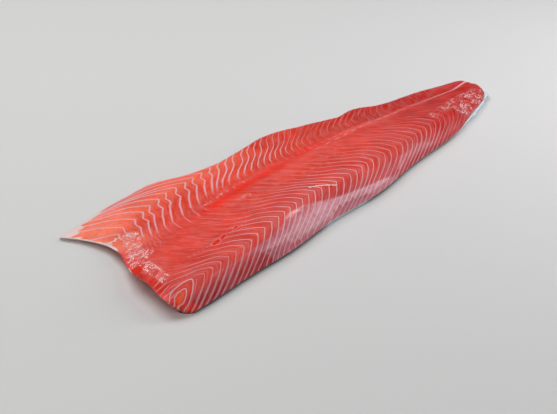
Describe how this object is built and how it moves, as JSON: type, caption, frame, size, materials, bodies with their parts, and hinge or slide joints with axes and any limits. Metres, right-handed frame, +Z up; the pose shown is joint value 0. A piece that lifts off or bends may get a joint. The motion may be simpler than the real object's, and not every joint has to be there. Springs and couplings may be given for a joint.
{
  "type": "side of salmon, skin on",
  "caption": "A raw side of salmon lying on its skin, with a thick rounded loin, a thin pointed belly flap, an undercut head cut and a tapering tail.",
  "frame": {"origin": "middle of the fillet's box, at the flat underside it lies on", "axes": "+X from the head cut to the tail, +Y towards the belly, +Z up out of the cut face"},
  "size_m": [0.5976, 0.205, 0.0339],
  "materials": {
    "flesh": "moist raw salmon flesh, orange-red with pale fat lines between the flakes",
    "skin": "thin silver and blue-grey fish skin with small scales, moist"
  },
  "bodies": {
    "root": {"salmon_fillet": "flesh"}
  },
  "joints": []
}
